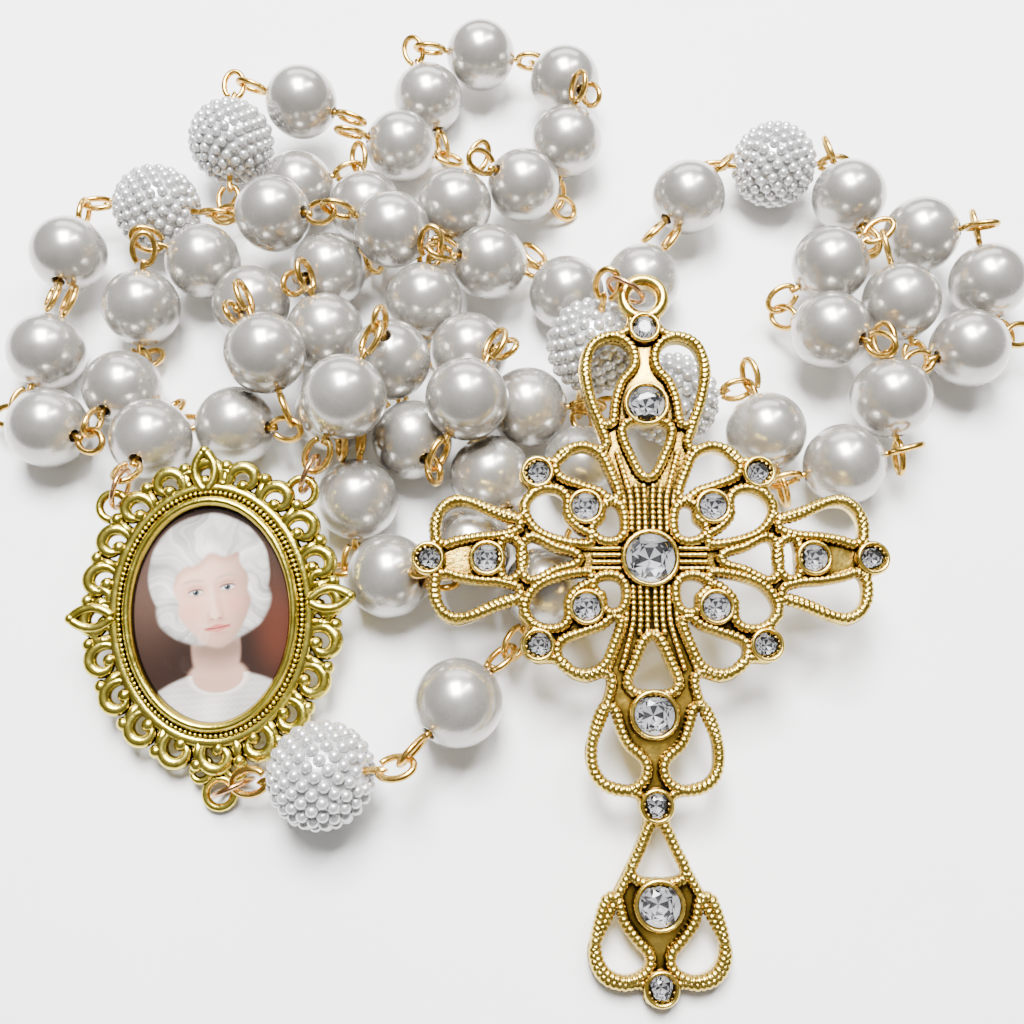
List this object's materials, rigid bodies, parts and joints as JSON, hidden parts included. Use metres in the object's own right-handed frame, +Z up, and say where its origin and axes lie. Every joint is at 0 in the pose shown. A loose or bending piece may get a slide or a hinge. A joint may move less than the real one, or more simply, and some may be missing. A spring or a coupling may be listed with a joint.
{
  "type": "rosary",
  "caption": "Pearl bead rosary with a filigree jewelled cross and an oval photo medallion, lying in a loose heap.",
  "frame": {"origin": "on the table, under the middle of the bounding box of the heap", "axes": "+Z up from the table, +X to the right and +Y away from a person who faces the cross with its foot towards them"},
  "size_m": [0.1328, 0.134, 0.0212],
  "materials": {
    "pearl": "pearl lustre, smooth",
    "pearl_cluster": "pearl lustre, beaded",
    "pin_gold": "bright gold plated wire",
    "ring_gold": "bright rose gold plated wire",
    "cross_gold": "antiqued gold plated casting",
    "medallion_gold": "antiqued gold plated casting",
    "jewel": "clear faceted glass",
    "portrait_paper": "printed picture, satin",
    "clear_glass": "clear domed cover"
  },
  "bodies": {
    "heap": {"decade_1_strand": "pearl", "decade_2_strand": "pearl", "decade_3_strand": "pearl", "decade_4_pins": "pin_gold", "decade_5_strand": "pearl", "our_father_1_pin": "pin_gold", "our_father_2_pin": "pin_gold", "our_father_3_pin": "pin_gold", "our_father_4_pin": "pin_gold", "medallion_left_ring": "ring_gold", "medallion_right_ring": "ring_gold", "drop_03_pin": "pin_gold", "drop_04_pin": "pin_gold", "drop_05_pin": "pin_gold"},
    "decade_4_01": {"decade_4_01_bead": "pearl"},
    "decade_4_02": {"decade_4_02_bead": "pearl"},
    "decade_4_03": {"decade_4_03_bead": "pearl"},
    "decade_4_04": {"decade_4_04_bead": "pearl"},
    "decade_4_05": {"decade_4_05_bead": "pearl"},
    "decade_4_06": {"decade_4_06_bead": "pearl"},
    "decade_4_07": {"decade_4_07_bead": "pearl"},
    "decade_4_08": {"decade_4_08_bead": "pearl"},
    "decade_4_09": {"decade_4_09_bead": "pearl"},
    "decade_4_10": {"decade_4_10_bead": "pearl"},
    "our_father_1": {"our_father_1_bead": "pearl_cluster"},
    "our_father_2": {"our_father_2_bead": "pearl_cluster"},
    "our_father_3": {"our_father_3_bead": "pearl_cluster"},
    "our_father_4": {"our_father_4_bead": "pearl_cluster"},
    "medallion": {"medallion_frame": "medallion_gold", "portrait_print": "portrait_paper", "glass_cabochon": "clear_glass"},
    "medallion_lower_ring": {"medallion_lower_ring": "ring_gold"},
    "drop_pearl_1": {"drop_01_pin": "pin_gold", "drop_02_pin": "pin_gold"},
    "drop_01": {"drop_01_bead": "pearl_cluster"},
    "drop_02": {"drop_02_bead": "pearl"},
    "drop_03": {"drop_03_bead": "pearl"},
    "drop_04": {"drop_04_bead": "pearl"},
    "drop_05": {"drop_05_bead": "pearl_cluster"},
    "cross_ring": {"cross_ring": "ring_gold"},
    "cross": {"cross_frame": "cross_gold", "jewel_centre": "jewel", "jewel_head": "jewel", "jewel_upper": "jewel", "jewel_lower": "jewel", "jewel_waist": "jewel", "jewel_tail": "jewel", "jewel_foot": "jewel", "jewel_arm_end_left": "jewel", "jewel_arm_end_right": "jewel", "jewel_arm_inner_left": "jewel", "jewel_arm_inner_right": "jewel", "jewel_petal_upper_outer_left": "jewel", "jewel_petal_upper_outer_right": "jewel", "jewel_petal_upper_inner_left": "jewel", "jewel_petal_upper_inner_right": "jewel", "jewel_petal_lower_outer_left": "jewel", "jewel_petal_lower_outer_right": "jewel", "jewel_petal_lower_inner_left": "jewel", "jewel_petal_lower_inner_right": "jewel"}
  },
  "joints": [
    {"name": "decade_4_01_spin", "type": "hinge", "parent": "heap", "child": "decade_4_01", "pos_m": [0.03053, -0.00059, 0.0053], "axis": [0.2446, -0.9228, -0.2976], "continuous": true},
    {"name": "decade_4_02_spin", "type": "hinge", "parent": "heap", "child": "decade_4_02", "pos_m": [0.03939, -0.00573, 0.00639], "axis": [0.9644, 0.1867, 0.1875], "continuous": true},
    {"name": "decade_4_03_spin", "type": "hinge", "parent": "heap", "child": "decade_4_03", "pos_m": [0.04584, 0.00277, 0.00803], "axis": [-0.0792, 0.952, 0.2957], "continuous": true},
    {"name": "decade_4_04_spin", "type": "hinge", "parent": "heap", "child": "decade_4_04", "pos_m": [0.03949, 0.01271, 0.0081], "axis": [-0.632, 0.6047, -0.4846], "continuous": true},
    {"name": "decade_4_05_spin", "type": "hinge", "parent": "heap", "child": "decade_4_05", "pos_m": [0.04062, 0.02295, 0.00823], "axis": [0.8123, 0.4625, 0.3553], "continuous": true},
    {"name": "decade_4_06_spin", "type": "hinge", "parent": "heap", "child": "decade_4_06", "pos_m": [0.04913, 0.01716, 0.00814], "axis": [0.2154, -0.9237, -0.3169], "continuous": true},
    {"name": "decade_4_07_spin", "type": "hinge", "parent": "heap", "child": "decade_4_07", "pos_m": [0.05739, 0.01083, 0.00683], "axis": [0.9417, 0.3285, -0.0728], "continuous": true},
    {"name": "decade_4_08_spin", "type": "hinge", "parent": "heap", "child": "decade_4_08", "pos_m": [0.06156, 0.0211, 0.00712], "axis": [-0.2006, 0.9122, 0.3573], "continuous": true},
    {"name": "decade_4_09_spin", "type": "hinge", "parent": "heap", "child": "decade_4_09", "pos_m": [0.05371, 0.02847, 0.00757], "axis": [-0.8468, 0.2009, -0.4925], "continuous": true},
    {"name": "decade_4_10_spin", "type": "hinge", "parent": "heap", "child": "decade_4_10", "pos_m": [0.04509, 0.0356, 0.00684], "axis": [-0.2779, 0.9515, 0.1322], "continuous": true},
    {"name": "our_father_1_spin", "type": "hinge", "parent": "heap", "child": "our_father_1", "pos_m": [-0.05012, 0.034, 0.00623], "axis": [0.9917, -0.1257, 0.0255], "continuous": true},
    {"name": "our_father_2_spin", "type": "hinge", "parent": "heap", "child": "our_father_2", "pos_m": [-0.04064, 0.04443, 0.00784], "axis": [-0.0078, -0.9576, -0.2881], "continuous": true},
    {"name": "our_father_3_spin", "type": "hinge", "parent": "heap", "child": "our_father_3", "pos_m": [0.01896, 0.0037, 0.00597], "axis": [0.9812, 0.191, -0.0293], "continuous": true},
    {"name": "our_father_4_spin", "type": "hinge", "parent": "heap", "child": "our_father_4", "pos_m": [0.03553, 0.04198, 0.00597], "axis": [-0.9996, -0.0271, -0.0035], "continuous": true},
    {"name": "medallion_tilt", "type": "hinge", "parent": "heap", "child": "medallion", "pos_m": [-0.0368, -0.01239, 0.0104], "axis": [-0.9962, -0.0872, 0], "range_deg": [0, 2.5]},
    {"name": "medallion_lower_ring_swing", "type": "hinge", "parent": "medallion", "child": "medallion_lower_ring", "pos_m": [-0.03399, -0.04447, 0.00116], "axis": [0, 0, 1], "range_deg": [0, 12]},
    {"name": "drop_pearl_1_swing", "type": "hinge", "parent": "heap", "child": "drop_pearl_1", "pos_m": [-0.00175, -0.02894, 0.00471], "axis": [0, 0, 1], "range_deg": [0, 25]},
    {"name": "drop_01_spin", "type": "hinge", "parent": "drop_pearl_1", "child": "drop_01", "pos_m": [-0.02194, -0.04355, 0.00636], "axis": [0.9685, 0.039, 0.246], "continuous": true},
    {"name": "drop_02_spin", "type": "hinge", "parent": "drop_pearl_1", "child": "drop_02", "pos_m": [-0.00731, -0.03558, 0.00644], "axis": [0.6297, 0.7514, -0.1971], "continuous": true},
    {"name": "drop_03_spin", "type": "hinge", "parent": "heap", "child": "drop_03", "pos_m": [0.00276, -0.02142, 0.00497], "axis": [0.4884, 0.8699, 0.0695], "continuous": true},
    {"name": "drop_04_spin", "type": "hinge", "parent": "heap", "child": "drop_04", "pos_m": [0.00741, -0.00515, 0.00497], "axis": [0.0366, 0.9813, -0.1888], "continuous": true},
    {"name": "drop_05_spin", "type": "hinge", "parent": "heap", "child": "drop_05", "pos_m": [0.0088, 0.00857, 0.01082], "axis": [0.151, 0.4305, 0.8899], "continuous": true},
    {"name": "cross_ring_swing", "type": "hinge", "parent": "heap", "child": "cross_ring", "pos_m": [0.01009, 0.01223, 0.01838], "axis": [-1, 0, 0], "range_deg": [0, 18]},
    {"name": "cross_lift", "type": "hinge", "parent": "cross_ring", "child": "cross", "pos_m": [0.01419, 0.01008, 0.01844], "axis": [-1, 0, 0], "range_deg": [0, 40]}
  ]
}
